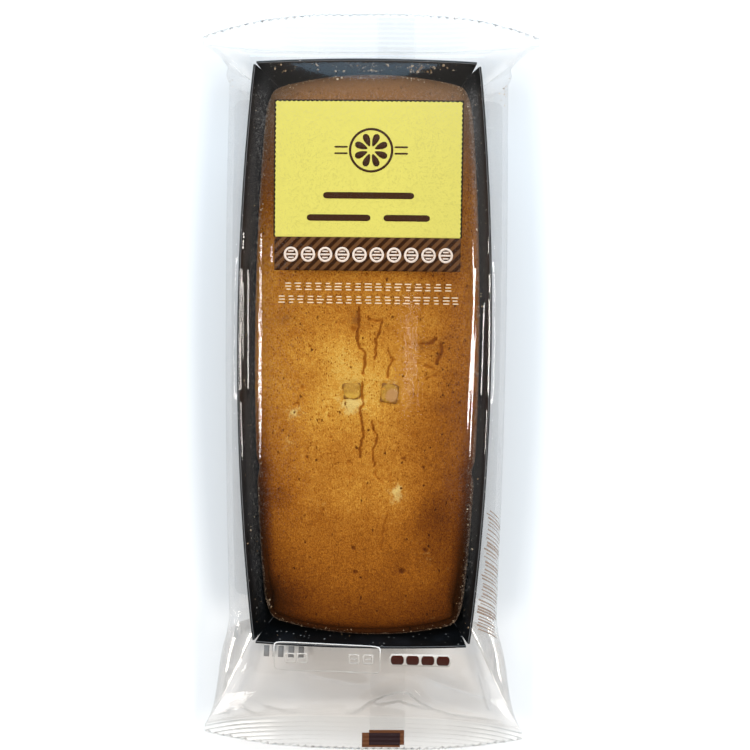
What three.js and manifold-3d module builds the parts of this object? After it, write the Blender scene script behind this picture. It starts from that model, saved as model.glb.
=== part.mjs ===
// A lemon loaf cake in its black card tray, sealed in a clear flow-wrap bag.
// Millimetres, +Z up, +Y along the loaf. The origin is on the table under the middle of the bag.
import * as THREE from 'three';
import { mergeVertices } from 'three/addons/utils/BufferGeometryUtils.js';
import Module from 'manifold-3d';

const wasm = await Module();
wasm.setup();

// ---- Driving dimensions ----
const GAP = 0.3; // clearance between neighbouring pieces

const TRAY_LENGTH = 206; // corner to corner along the rim
const TRAY_END_WIDTH = 78.5; // rim width at the ends
const TRAY_SIDE_BOW = 5.7; // how far the cake pushes each long wall out at mid-length
const TRAY_END_BOW = 1.1;
const TRAY_HEIGHT = 42;
const TRAY_BASE_WIDTH = 60;
const TRAY_BASE_LENGTH = 195;
const TRAY_Y = 14; // the tray lies nearer the upper seal
const CARD = 0.8; // card thickness
const SLIT_DEPTH = 15; // the open corner seams, from the rim down
const SLIT_WIDTH = 2.6;

const CAKE_EDGE = 33; // height where the crust leaves the tray wall
const CAKE_EDGE_TILT = 1.5; // the right edge rose higher than the left
const CAKE_CROWN = 45.3;
const CAKE_END_BOW = 4.2; // the loaf's ends are rounder than the tray's
const CAKE_END_GAP = 1; // how far the loaf shrank away from the upper end wall
const CAKE_CORNER = 24; // exponent of the loaf's rounded outline
const CAKE_LUMP = 0.35; // the slow swells of the crust
const TRIM = 3; // what is cut off flat below the loaf
const DENT = { along: -43, depth: 1, length: 3.5 }; // a fold pinched into both sides

const CRACKS = [
  { x: -0.3, from: -41, to: 22, width: 0.9, depth: 1.6 },
  { x: 4.6, from: -43, to: 20, width: 0.8, depth: 1.4 },
  { x: 6.3, from: -66, to: -51, width: 0.7, depth: 1.2 },
];
const CRACK_WANDER = 0.7; // sideways, either way

const DICE = { size: [6.2, 5, 3], proud: 0.4, turn: 0.06, at: [[-3.9, -9.8], [9.4, -10.3]] };

const BAG_LENGTH = 283;
const BAG_HALF_WIDTH = 63; // half the flat tube
const BAG_SIDE = 50; // half-width where the film bulges beside the tray
const BAG_BASE_MARGIN = 1.5; // the film's foot outside the tray's base
const FILM = 0.9; // the film with the air under it, beside and above the rim
const CROWN_RISE = 4.3; // of the film over the rim, where it lies on the cake
const SEAL_HEIGHT = 14;
const SEAL_THICKNESS = 0.8;
const SEAL_DROOP = 3; // of the seals' tips
const UPPER_SEAL = { from: 127, to: BAG_LENGTH / 2, tipFrom: 130.5, tipTo: 133.5 };
const LOWER_SEAL = { from: -128, to: -BAG_LENGTH / 2, tipFrom: -134, tipTo: -137 };
const TOOTH = 3; // pitch of the zigzag cut
const TOOTH_DEPTH = 1.3;

const MATERIALS = {
  tray: { color: 0x1d2023, roughness: 0.5, metalness: 0 },
  cake: { color: 0xbf7a2f, roughness: 0.85, metalness: 0 },
  bag: { color: 0xeef1f3, roughness: 0.12, metalness: 0, transparent: true, opacity: 0.25 },
};

const { abs, cos, max, min, PI, round, sin } = Math;
const mix = (a, b, t) => a + (b - a) * t;
const smooth = (t) => THREE.MathUtils.smoothstep(t, 0, 1);
const shareOf = (value, from, to) => min(1, max(0, (value - from) / (to - from)));

// ---- Turning geometry into solids and back ----
function toSolid(geometry) {
  const bare = geometry.clone();
  bare.deleteAttribute('normal');
  bare.deleteAttribute('uv');
  const merged = mergeVertices(bare, 1e-4);
  const vertProperties = new Float32Array(merged.attributes.position.array);
  const triVerts = new Uint32Array(merged.index.array);
  return new wasm.Manifold(new wasm.Mesh({ numProp: 3, vertProperties, triVerts }));
}

function toGeometry(solid) {
  const mesh = solid.getMesh();
  const geometry = new THREE.BufferGeometry();
  geometry.setAttribute('position', new THREE.BufferAttribute(mesh.vertProperties, 3));
  geometry.setIndex(new THREE.BufferAttribute(mesh.triVerts, 1));
  geometry.computeVertexNormals();
  return geometry;
}

// A box whose points are moved to shape(u, v, w): u and v run from -1 to 1, w from 0 to 1.
function shapedBox([across, along, levels], shape) {
  const box = new THREE.BoxGeometry(2, 2, 1, across, along, levels);
  const places = box.attributes.position;
  for (let i = 0; i < places.count; i++) {
    places.setXYZ(i, ...shape(places.getX(i), places.getY(i), places.getZ(i) + 0.5));
  }
  return toSolid(box);
}

// ---- The card tray ----
// Half-width of the tray's outside at height z and at a share v (-1 to 1) of its length.
function trayHalfWidth(v, z) {
  const t = z / TRAY_HEIGHT;
  return mix(TRAY_BASE_WIDTH, TRAY_END_WIDTH, t) / 2 + TRAY_SIDE_BOW * t * (1 - v * v);
}

function trayHalfLength(u, z) {
  const t = z / TRAY_HEIGHT;
  return mix(TRAY_BASE_LENGTH, TRAY_LENGTH, t) / 2 + TRAY_END_BOW * t * (1 - u * u);
}

// The tray's filled outline, moved out by grow.
function trayBlock(grow, bottom, top) {
  return shapedBox([6, 20, 3], (u, v, w) => {
    const z = mix(bottom, top, w);
    const x = u * (trayHalfWidth(v, z) + grow);
    const y = v * (trayHalfLength(u, z) + grow);
    return [x, y + TRAY_Y, z];
  });
}

function cornerSlit(sideX, sideY) {
  const length = 16;
  const tip = 0.15;
  const wedge = new THREE.Shape([
    new THREE.Vector2(-tip, -SLIT_DEPTH),
    new THREE.Vector2(tip, -SLIT_DEPTH),
    new THREE.Vector2(SLIT_WIDTH / 2, 0.5),
    new THREE.Vector2(-SLIT_WIDTH / 2, 0.5),
  ]);
  const slit = new THREE.ExtrudeGeometry(wedge, { depth: length, bevelEnabled: false });
  slit.translate(0, 0, -length / 2);
  slit.rotateX(PI / 2);
  slit.rotateZ(sideX * sideY > 0 ? -PI / 4 : PI / 4);
  const [x, y] = [sideX * TRAY_END_WIDTH / 2, sideY * TRAY_LENGTH / 2];
  slit.translate(x, y + TRAY_Y, TRAY_HEIGHT);
  return toSolid(slit);
}

function makeTray() {
  const hollow = trayBlock(-CARD, CARD, TRAY_HEIGHT + 1);
  let solid = trayBlock(0, 0, TRAY_HEIGHT).subtract(hollow);
  for (const sideX of [-1, 1]) {
    for (const sideY of [-1, 1]) solid = solid.subtract(cornerSlit(sideX, sideY));
  }
  return solid;
}

// ---- The loaf ----
// Height of the crust at a place of the loaf's own square (u, v), from the edge to the crown.
function crustHeight(u, v, x, y) {
  const edge = CAKE_EDGE + CAKE_EDGE_TILT * u;
  const dome = Math.sqrt(max(0, 1 - abs(u) ** 2.3) * max(0, 1 - abs(v) ** 6));
  const lump = CAKE_LUMP * sin(x / 9 + y / 21 + 1) * cos(y / 13 - x / 30);
  return edge + (CAKE_CROWN - edge + lump) * dome;
}

function loafPoint(u, v, w, grow) {
  const rim = max(abs(u), abs(v), 1e-6);
  const spread = max(1, abs(u / rim) ** CAKE_CORNER + abs(v / rim) ** CAKE_CORNER);
  const corner = mix(1, spread ** (-1 / CAKE_CORNER), rim ** 2);
  const side = CAKE_EDGE + CAKE_EDGE_TILT * u;
  const z = mix(-TRIM, side, w);
  const along = (v * TRAY_LENGTH) / 2;
  const pinch = DENT.depth * w * Math.exp(-(((along - DENT.along) / DENT.length) ** 2));
  const inset = CARD + GAP - grow;
  const x = u * corner * (trayHalfWidth(v, z) - inset - pinch);
  const shrunk = CAKE_END_GAP * max(0, v) * w;
  const y = v * corner * (trayHalfLength(u, z) - inset - CAKE_END_BOW * u * u) - shrunk;
  return [x, y + TRAY_Y, w === 1 ? crustHeight(u, v, x, y) + grow : z];
}

// The loaf without its cracks and dice, moved out by grow and cut flat below.
function loafBlock(grow) {
  // more rows towards the shoulders, where the crust turns over
  const crowd = (t) => mix(t, sin((t * PI) / 2), 0.55);
  const loaf = shapedBox([26, 48, 4], (u, v, w) => loafPoint(crowd(u), crowd(v), w, grow));
  const floor = CARD + GAP - grow;
  const below = new THREE.BoxGeometry(2 * TRAY_END_WIDTH, 2 * TRAY_LENGTH, 2 * TRIM);
  below.translate(0, 0, floor - TRIM);
  return loaf.subtract(toSolid(below));
}

// A wandering sliver, as deep as the crack below the crown.
function crack({ x, from, to, width, depth }) {
  const steps = round((to - from) / 3);
  const edge = (t, sideways) => {
    const y = mix(from, to, t);
    const wander = CRACK_WANDER * (sin(y / 4.1 + x) + 0.5 * sin(y / 1.7 + 2 * x));
    const half = (width / 2) * sin(PI * mix(0.04, 0.96, t)) ** 0.6;
    return new THREE.Vector2(x + wander + sideways * half, y);
  };
  const shares = Array.from({ length: steps + 1 }, (_, i) => i / steps);
  const right = shares.map((t) => edge(t, 1));
  const left = shares.map((t) => edge(t, -1)).reverse();
  const sliver = new THREE.Shape([...right, ...left]);
  const cut = new THREE.ExtrudeGeometry(sliver, { depth: 4, bevelEnabled: false });
  cut.translate(0, TRAY_Y, CAKE_CROWN - depth);
  return toSolid(cut);
}

function peelDie([x, y], grow) {
  const [width, length, thick] = DICE.size.map((size) => size + 2 * grow);
  const die = new THREE.BoxGeometry(width, length, thick);
  die.rotateZ(x < 0 ? DICE.turn : -DICE.turn);
  die.translate(x, y + TRAY_Y, CAKE_CROWN + DICE.proud + grow - thick / 2);
  return toSolid(die);
}

function makeCake() {
  let solid = loafBlock(0);
  for (const line of CRACKS) solid = solid.subtract(crack(line));
  for (const place of DICE.at) solid = solid.add(peelDie(place, 0));
  return solid;
}

// ---- The sealed bag: its film and the air round the tray ----
// Rows of the bag from the lower seal to the upper one, as {y, seal: 0 to 1 across a seal}.
function bagRows() {
  const rows = [];
  const stretch = (from, to, count) => {
    for (let i = 0; i < count; i++) rows.push({ y: mix(from, to, i / count), seal: 0 });
  };
  const sealRows = [0, 0.5, 1];
  const trayFoot = TRAY_LENGTH / 2 + TRAY_END_BOW + FILM;
  rows.push(...sealRows.map((seal) => ({ y: LOWER_SEAL.from, seal })).reverse());
  rows.pop();
  stretch(LOWER_SEAL.from, TRAY_Y - trayFoot, 8);
  stretch(TRAY_Y - trayFoot, TRAY_Y + trayFoot, 18);
  stretch(TRAY_Y + trayFoot, UPPER_SEAL.from, 5);
  rows.push(...sealRows.map((seal) => ({ y: UPPER_SEAL.from, seal })));
  return rows;
}

function bagPoint(row, u, w) {
  const along = row.y - TRAY_Y;
  const seal = along > 0 ? UPPER_SEAL : LOWER_SEAL;
  const tip = abs(u) ** 3;
  // how far the section has gone from the tray's to the flat seal's
  const reach = (start) => shareOf(abs(along), start, abs(seal.from - TRAY_Y));
  const above = reach(TRAY_LENGTH / 2 + TRAY_END_BOW + FILM);
  const below = reach(TRAY_BASE_LENGTH / 2 + BAG_BASE_MARGIN);

  const v = min(1, abs(along) / (TRAY_LENGTH / 2));
  const flatZ = SEAL_HEIGHT - SEAL_DROOP * u * u;
  const rimX = trayHalfWidth(v, TRAY_HEIGHT) + FILM;
  const rimZ = TRAY_HEIGHT + GAP + FILM;
  const swell = CROWN_RISE * (1 - u ** 4) * (1 - v ** 4);
  const topX = mix(rimX, BAG_HALF_WIDTH, above);
  const topZ = mix(rimZ + swell, flatZ + SEAL_THICKNESS / 2, above);
  const footX = mix(TRAY_BASE_WIDTH / 2 + BAG_BASE_MARGIN, BAG_HALF_WIDTH, below);
  const footZ = mix(0, flatZ - SEAL_THICKNESS / 2, smooth(below));

  // the side bulges between foot and rim, and flattens into the crease of the seal
  const bulge = BAG_SIDE - mix(TRAY_BASE_WIDTH / 2 + BAG_BASE_MARGIN, rimX, 0.5);
  const side = mix(bulge, 0, max(above, smooth(below))) * 4 * w * (1 - w);
  const x = u * (mix(footX, topX, w) + side);
  const z = mix(footZ, topZ, w);

  const start = mix(seal.from, seal.tipFrom, tip);
  const end = mix(seal.to, seal.tipTo, tip);
  const y = row.y + (start - seal.from) * above + (end - start) * row.seal;
  return [x, y, z];
}

// The zigzag cut along a seal's outer edge.
function zigzag(seal) {
  const outwards = Math.sign(seal.to);
  const count = round(BAG_HALF_WIDTH / TOOTH);
  const points = [];
  for (let i = -2 * count; i <= 2 * count; i++) {
    const x = (i * BAG_HALF_WIDTH) / (2 * count);
    const y = mix(seal.to, seal.tipTo, abs(x / BAG_HALF_WIDTH) ** 3);
    points.push(new THREE.Vector2(x, y - outwards * (i % 2 ? TOOTH_DEPTH : -0.05)));
  }
  const beyond = seal.to + outwards * 5;
  points.push(new THREE.Vector2(BAG_HALF_WIDTH + 2, points.at(-1).y));
  points.push(new THREE.Vector2(BAG_HALF_WIDTH + 2, beyond));
  points.push(new THREE.Vector2(-BAG_HALF_WIDTH - 2, beyond));
  points.push(new THREE.Vector2(-BAG_HALF_WIDTH - 2, points[0].y));
  const comb = new THREE.ExtrudeGeometry(new THREE.Shape(points), {
    depth: 2 * SEAL_HEIGHT,
    bevelEnabled: false,
  });
  return toSolid(comb);
}

function makeBag() {
  const rows = bagRows();
  let solid = shapedBox([14, rows.length - 1, 6], (u, v, w) => {
    const row = rows[round(((v + 1) / 2) * (rows.length - 1))];
    return bagPoint(row, u, w);
  });
  for (const seal of [UPPER_SEAL, LOWER_SEAL]) solid = solid.subtract(zigzag(seal));
  solid = solid.subtract(trayBlock(GAP, -1, TRAY_HEIGHT + GAP));
  solid = solid.subtract(loafBlock(GAP));
  for (const place of DICE.at) solid = solid.subtract(peelDie(place, GAP));
  return solid;
}

// ---- The whole, one named mesh for each piece ----
const cakePack = new THREE.Group();
cakePack.name = 'lemon_cake_pack';
for (const [name, solid] of [
  ['tray', makeTray()],
  ['cake', makeCake()],
  ['bag', makeBag()],
]) {
  const mesh = new THREE.Mesh(toGeometry(solid), new THREE.MeshStandardMaterial(MATERIALS[name]));
  mesh.name = name;
  cakePack.add(mesh);
}

export default cakePack;
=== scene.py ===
import math
import random

import bmesh
import bpy
from mathutils import Euler, Matrix, Vector, noise


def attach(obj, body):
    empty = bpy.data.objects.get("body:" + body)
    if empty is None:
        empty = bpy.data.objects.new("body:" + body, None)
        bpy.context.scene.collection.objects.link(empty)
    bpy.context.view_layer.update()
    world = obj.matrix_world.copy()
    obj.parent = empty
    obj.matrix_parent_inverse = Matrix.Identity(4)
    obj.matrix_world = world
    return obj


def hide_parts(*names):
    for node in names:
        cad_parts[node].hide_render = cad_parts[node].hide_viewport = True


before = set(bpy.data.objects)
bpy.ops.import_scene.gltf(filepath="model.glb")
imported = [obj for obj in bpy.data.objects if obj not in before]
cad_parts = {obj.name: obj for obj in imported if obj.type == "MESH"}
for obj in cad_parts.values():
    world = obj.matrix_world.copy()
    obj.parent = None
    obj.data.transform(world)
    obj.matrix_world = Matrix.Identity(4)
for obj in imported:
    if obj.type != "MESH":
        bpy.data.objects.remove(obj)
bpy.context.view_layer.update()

# ---- The card tray ----
# Black coated paperboard, folded up from one die-cut blank with flared walls and open seams at its four
# corners. Its rim shows a thin line of paler board with a painted highlight on it, and the loaf pushes
# the long walls outwards.
# Lengths in this file are millimetres until mesh_piece() writes the mesh in metres.
TRAY_LENGTH = 206
TRAY_END_WIDTH = 78.5
TRAY_SIDE_BOW = 5.7
TRAY_END_BOW = 1.1
TRAY_HEIGHT = 42
TRAY_BASE_WIDTH = 60
TRAY_BASE_LENGTH = 195
TRAY_Y = 14
TRAY_LIFT = 0.3  # the tray stands on the film and its folded seam
CARD = 0.8
SEAM_DEPTH = 15
SEAM_OPEN = {(-1, 1): 2.0, (1, 1): 2.9, (-1, -1): 2.2, (1, -1): 2.6}  # at the rim of each corner
SEAM_LEAN = {"side": 39, "end": 9}  # how soon each wall is back on its line, away from a seam
EDGE_BEVEL = 0.14


def mix(a, b, t):
    return a + (b - a) * t


def clamp(value, low=0.0, high=1.0):
    return min(high, max(low, value))


def smooth(t):
    t = clamp(t)
    return t * t * (3 - 2 * t)


def tray_half_width(v, z):
    t = z / TRAY_HEIGHT
    return mix(TRAY_BASE_WIDTH, TRAY_END_WIDTH, t) / 2 + TRAY_SIDE_BOW * t * (1 - v * v)


def tray_half_length(u, z):
    t = z / TRAY_HEIGHT
    return mix(TRAY_BASE_LENGTH, TRAY_LENGTH, t) / 2 + TRAY_END_BOW * t * (1 - u * u)


def mesh_piece(name, bm, soft=True):
    """Makes an object of a bmesh in millimetres, with its faces outwards."""
    bmesh.ops.recalc_face_normals(bm, faces=bm.faces)
    bmesh.ops.scale(bm, vec=(0.001, 0.001, 0.001), verts=bm.verts)
    mesh = bpy.data.meshes.new(name)
    bm.to_mesh(mesh)
    bm.free()
    mesh.polygons.foreach_set("use_smooth", [soft] * len(mesh.polygons))
    piece = bpy.data.objects.new(name, mesh)
    bpy.context.scene.collection.objects.link(piece)
    return piece


def extruded_wall(bm, levels, height):
    """Draws a grid's outline out into a wall of several levels, and gives back its last edges."""
    rim = [edge for edge in bm.edges if edge.is_boundary]
    for level in range(levels):
        grown = bmesh.ops.extrude_edge_only(bm, edges=rim)["geom"]
        rim = [part for part in grown if isinstance(part, bmesh.types.BMEdge)]
        moved = [part for part in grown if isinstance(part, bmesh.types.BMVert)]
        bmesh.ops.translate(bm, vec=(0, 0, height / levels), verts=moved)
    return rim


def add_modifier(piece, kind, **settings):
    modifier = piece.modifiers.new(kind.lower(), kind)
    for key, value in settings.items():
        setattr(modifier, key, value)


class Value:
    """A socket of a material, whose arithmetic adds Math nodes."""

    def __init__(self, finish, node, index):
        self.finish = finish
        self.node = node
        self.socket = node.outputs[index]

    def out(self, index):
        return Value(self.finish, self.node, index)

    def __add__(self, other):
        return self.finish.math("ADD", self, other)

    def __sub__(self, other):
        return self.finish.math("SUBTRACT", self, other)

    def __rsub__(self, other):
        return self.finish.math("SUBTRACT", other, self)

    def __mul__(self, other):
        return self.finish.math("MULTIPLY", self, other)

    def __truediv__(self, other):
        return self.finish.math("DIVIDE", self, other)

    def __pow__(self, other):
        return self.finish.math("POWER", self, other)

    __radd__ = __add__
    __rmul__ = __mul__


class Finish:
    """A material in the making: node() adds any node, feeds its sockets and gives back its output."""

    OUTPUT = "ShaderNodeOutputMaterial"

    def __init__(self, name):
        self.material = self.start(name)
        self.material.use_nodes = True
        self.nodes = self.material.node_tree.nodes
        self.nodes.clear()
        self.end = self.nodes.new(self.OUTPUT)

    def start(self, name):
        return bpy.data.materials.new(name)

    def node(self, kind, values, output=0, stops=(), **settings):
        node = self.nodes.new("ShaderNode" + kind)
        for key, value in settings.items():
            setattr(node, key, value)
        for index, (place, colour) in enumerate(stops):
            spare = node.color_ramp.elements
            stop = spare[index] if index < 2 else spare.new(place)
            stop.position = place
            stop.color = (*colour, 1)
        for key, value in values.items():
            socket = node.inputs[key]
            if isinstance(value, Value):
                self.material.node_tree.links.new(value.socket, socket)
            else:
                socket.default_value = (*value, 1) if socket.type == "RGBA" else value
        return Value(self, node, output)

    def math(self, operation, first, second=0.0):
        return self.node("Math", {0: first, 1: second}, operation=operation)

    def place(self):
        """The point on the piece, in millimetres."""
        point = self.node("TexCoord", {}, output=3)
        return self.node("VectorMath", {0: point, 3: 1000}, operation="SCALE")

    def axes(self, vector):
        x = self.node("SeparateXYZ", {0: vector})
        return x, x.out(1), x.out(2)

    def stretch(self, point, x, y, z):
        return self.node("VectorMath", {0: point, 1: (x, y, z)}, operation="MULTIPLY")

    def cloud(self, point, size, detail=3, rough=0.5, distortion=0):
        """Noise from 0 to 1 with lumps of about that many millimetres."""
        values = {"Vector": point, "Scale": 1 / size, "Detail": detail, "Roughness": rough}
        return self.node("TexNoise", {**values, "Distortion": distortion})

    def cells(self, point, scale):
        """Scattered dots: how far the nearest one is, and a random number for each of them."""
        far = self.node("TexVoronoi", {"Vector": point, "Scale": scale})
        return far, self.node("SeparateColor", {0: far.out(1)})

    def rise(self, value, low, high):
        """0 below low, 1 above high, and smooth between them."""
        values = {"Value": value, "From Min": low, "From Max": high}
        return self.node("MapRange", values, interpolation_type="SMOOTHSTEP")

    def spot(self, x, y, at, size):
        """1 at a place on the top, fading to 0 over size."""
        far = ((x - at[0]) / size[0]) ** 2 + ((y - at[1]) / size[1]) ** 2
        return self.math("POWER", math.e, far * -1)

    def spots(self, x, y, places):
        """Several spots together, each given by its place, size and strength."""
        return sum(self.spot(x, y, at, size) * strength for at, size, strength in places)

    def blend(self, first, second, share):
        return self.node("Mix", {0: share, 6: first, 7: second}, output=2, data_type="RGBA")

    def bump(self, height, depth, under=None):
        """Relief as high as depth millimetres where height goes from 0 to 1."""
        values = {"Height": height, "Distance": depth / 1000, "Strength": 1.0}
        if under:
            values["Normal"] = under
        return self.node("Bump", values)

    def done(self, shader):
        self.material.node_tree.links.new(shader.socket, self.end.inputs["Surface"])
        return self.material

    def skin(self, values):
        """Ends the material with one solid surface."""
        return self.done(self.node("BsdfPrincipled", values))


def card_finish():
    """Black coating over the board's grain, with scuffs and specks of dust."""
    look = Finish("black_card")
    point = look.place()
    grain = look.cloud(look.stretch(point, 1, 0.35, 1), 0.5, 4)
    specks, kind = look.cells(point, 0.45)
    dust = (1 - look.rise(specks, 0.08, 0.18)) * look.rise(kind, 0.2, 0.5)
    scuff = look.rise(look.cloud(point, 9, 3), 0.45, 0.75)
    black = look.blend((0.003, 0.0035, 0.004), (0.008, 0.009, 0.011), scuff)
    black = look.blend(black, (0.4, 0.38, 0.35), dust * 0.8)
    gloss = 0.3 + scuff * 0.1 + dust * 0.2
    relief = look.bump(grain, 0.02)
    values = {"Base Color": black, "Roughness": gloss, "Normal": relief, "Specular IOR Level": 0.34}
    return look.skin(values)


# The bevelled edges, paler: partly the board's grey core at its cut edges, partly a painted highlight
# along the rim.
def pale_rim_finish():
    look = Finish("pale_rim_and_highlight")
    fibres = look.cloud(look.place(), 0.6, 4)
    tone = look.blend((0.06, 0.065, 0.07), (0.2, 0.2, 0.2), fibres)
    return look.skin({"Base Color": tone, "Roughness": 0.7})


def card_tray():
    bm = bmesh.new()
    across, along, levels = 16, 44, 14
    bmesh.ops.create_grid(bm, x_segments=across, y_segments=along, size=1)
    extruded_wall(bm, levels, 1)
    seam_foot = 1 - SEAM_DEPTH / TRAY_HEIGHT
    seams = []
    for edge in bm.edges:
        a, b = (vert.co for vert in edge.verts)
        at_corner = min(abs(a.x), abs(a.y), abs(b.x), abs(b.y)) > 0.999
        if at_corner and min(a.z, b.z) > seam_foot - 0.5 / levels and abs(a.z - b.z) > 0:
            seams.append(edge)
    bmesh.ops.split_edges(bm, edges=seams)
    on_side = {vert: abs(vert.link_faces[0].calc_center_median().x) > 0.9999 for vert in bm.verts}
    for vert in bm.verts:
        u, v, w = vert.co
        z = w * TRAY_HEIGHT
        x = u * tray_half_width(v, z)
        y = v * tray_half_length(u, z)
        opening = clamp((w - seam_foot) / (1 - seam_foot))
        gap = SEAM_OPEN[math.copysign(1, u), math.copysign(1, v)] * opening * 0.5
        if on_side[vert]:
            y -= gap * v ** SEAM_LEAN["side"]
        else:
            x -= gap * u ** SEAM_LEAN["end"]
        vert.co = (x, y + TRAY_Y, max(z, TRAY_LIFT))
    piece = mesh_piece("card_tray", bm)
    add_modifier(piece, "SOLIDIFY", thickness=CARD / 1000, offset=-1, use_even_offset=True)
    corners = {"limit_method": "ANGLE", "angle_limit": math.radians(50)}
    add_modifier(piece, "BEVEL", width=EDGE_BEVEL / 1000, segments=2, material=1, **corners)
    add_modifier(piece, "WEIGHTED_NORMAL", keep_sharp=True)
    piece.data.materials.append(card_finish())
    piece.data.materials.append(pale_rim_finish())
    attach(piece, "root")
    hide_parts("tray")


card_tray()

# ---- The loaf ----
# A lemon loaf baked in its tray: a domed brown crust, golden over the middle where it rose last and
# torn along two lines, darker and redder towards the walls, with pores, a blister ring and pale spots.
CAKE_EDGE = 33
CAKE_EDGE_TILT = 1.5
CAKE_CROWN = 45.3
CAKE_END_BOW = 4.2
CAKE_END_GAP = 1
CAKE_CORNER = 24
CAKE_LUMP = 0.35
CAKE_INSET = 1.1
DENT = (-43, 1, 3.5)  # along the loaf, depth and length
DICE = (  # place in the crust, size and turn of the two dice of peel
    ((-3.9, -10.6), (6.3, 6.0, 3.0), 0.04),
    ((9.2, -11.2), (6.0, 6.9, 3.0), -0.12),
)
TEARS = (  # depth, half-width, then the places along each tear of the crust
    (0.9, 0.34, (-1.7, 19), (-1.7, 14), (-2.3, 9), (-1.9, 5.4), (0.3, 3.2), (0.4, -2), (-0.1, -4.4)),
    (0.9, 0.36, (-0.4, -7.8), (-0.5, -11.5), (0.1, -14), (-0.9, -18),
     (0, -24), (0.3, -26.3), (-0.8, -30), (-0.7, -34)),
    (0.8, 0.3, (1.6, 15.4), (2.1, 14.4), (4.6, 14.2), (6.4, 14.4),
     (5.3, 9.4), (4.1, 7.4), (4.4, 3), (3.9, 0.8)),
    (0.7, 0.32, (3.5, -21), (3.6, -23.8), (5, -26), (5.1, -27.5), (3.7, -31), (3.8, -35), (4.2, -37)),
    (0.5, 0.3, (4.2, -39), (5.1, -41), (7.4, -43)),
    (0.7, 0.3, (8.4, 4), (9.7, 1.4), (10.1, 0.7), (9.9, -0.7), (8.7, -2.5), (8.3, -5.5)),
    (0.35, 0.26, (-8.5, 13.7), (-9.3, 9.3), (-8.7, 6.2)),
    (0.3, 0.26, (-10.4, 2.9), (-10.9, -0.3)),
    (0.3, 0.3, (9.3, 18.4), (9, 16.5)),
    (0.35, 0.3, (-3.3, -38.8), (-4.7, -41.6), (-4.6, -43.5)),
    (0.4, 0.3, (10.1, -38.8), (9.8, -42.8)),
    (0.45, 0.32, (8.9, -54), (8, -57), (7.2, -64.5), (6.8, -67)),
    (0.35, 0.3, (-2.5, -66.6), (-1.4, -71.5)),
    (0.3, 0.28, (1.3, -73), (1.3, -78.4)),
    (0.35, 0.3, (-14.9, -56), (-17, -59)),
    (0.6, 0.3, (-24.6, -15.9), (-23, -15), (-22.8, -17)),
    (0.4, 0.32, (19, -13.8), (20.3, -16.4)),
    (1.0, 0.55, (19.2, 4.5), (20, 6), (22, 5.4), (23.5, 6.4), (25.2, 8.2)),
    (0.8, 0.5, (27, 6), (27.3, 3.3), (26.4, 1), (25.4, -0.6)),
    (0.6, 0.5, (24.8, -2.6), (21.4, -1.3)),
    (0.6, 0.36, (21.8, -6.2), (23.5, -5.4), (25.4, -4.9)),
)
PITS = (  # place, half-width and depth of each hole that a bubble left
    ((-3.5, 11.2), 0.9, 0.5),
    ((14.5, -34.3), 0.5, 1.0),
    ((21.5, -37.4), 0.55, 0.9),
    ((-19.7, -34.3), 0.5, 0.8),
    ((-19, 5), 0.5, 0.7),
    ((-2.6, -66.6), 0.6, 0.8),
    ((-2.1, -75.4), 0.65, 0.8),
    ((14.4, -75), 0.9, 0.8),
    ((22.6, -67.3), 0.65, 0.8),
    ((-13.6, -52.9), 0.45, 0.6),
    ((-11.9, -19.8), 0.45, 0.6),
    ((-11.3, -27), 0.5, 0.6),
    ((-4.7, -35.3), 0.55, 0.5),
    ((6, -21.9), 0.5, 0.5),
    ((6.6, -23.7), 0.5, 0.4),
    ((33, -8.2), 0.5, 0.7),
    ((-30.5, -17.4), 0.45, 0.6),
    ((-21.5, -9.5), 0.9, 0.5),
    ((18.6, -25.6), 0.8, 0.35),
)
TEAR_DEPTH = 0.3
BLISTER = ((23.4, 3.2), (3.6, 4.6), 0.12)  # place, half-widths and rise
DIE_GROOVE = (0.5, 0.2)  # depth of the groove round each die, and its width as a share of the die
FOLD = (0.22, 1.6)  # depth and half-width of the folds that run in from both ends of the dent
LIP = (2.9, 0.7, 1.2)  # reach of the lip at the lower end, half-width and depth of the groove inside it
PALE_SPOTS = (  # place on the loaf, its size, how pale
    ((-3.9, -15.2), (4.2, 3.4), 1.1),
    ((-24.4, -18.4), (2.6, 2.4), 0.9),
    ((-26, -29.8), (2.4, 2.6), 0.4),
    ((12.2, -46.8), (2.6, 3.6), 0.95),
    ((-14.6, -52), (3, 3), 0.15),
    ((23, -70.5), (2.2, 3), 0.25),
    ((10, -7.3), (3.4, 1.6), 0.5),
)
PALER = (  # place, size and how much paler, or browner, the crust is there
    ((-1, -10), (14, 13), 0.26),
    ((1, -12), (7, 5), 0.06),
    ((-11, 1), (9, 10), 0.13),
    ((-17, -19), (9, 6), 0.07),
    ((18, -4), (9, 8), 0.06),
    ((24, -5), (8, 10), 0.05),
    ((22, 10), (10, 16), 0.08),
    ((-9, -40), (10, 5), -0.05),
    ((-31, -49), (9, 5), -0.14),
    ((2, -49), (20, 6), 0.05),
    ((14, -50), (8, 7), 0.1),
    ((25, -54), (8, 10), -0.16),
    ((-16, -58), (6, 6), -0.06),
    ((8, -60), (16, 12), -0.045),
    ((13, -75), (5, 6), -0.07),
    ((21, -77), (10, 6), 0.09),
    ((-5, -77), (14, 6), 0.03),
)
RED_SPOTS = (  # place, size and strength of the smudges that baked darkest
    ((-2.9, 14.5), (1.8, 3.2), 0.7),
    ((20.8, 5.8), (3.2, 1.7), 0.9),
    ((28.2, -16.5), (3.4, 2), 0.65),
    ((30, 9), (2.6, 1.2), 0.35),
    ((26.4, 3.2), (1.6, 3.6), 0.6),
    ((30.5, -43), (1.6, 4), 0.45),
    ((-28.5, 14.8), (4, 3), 0.5),
)


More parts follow.
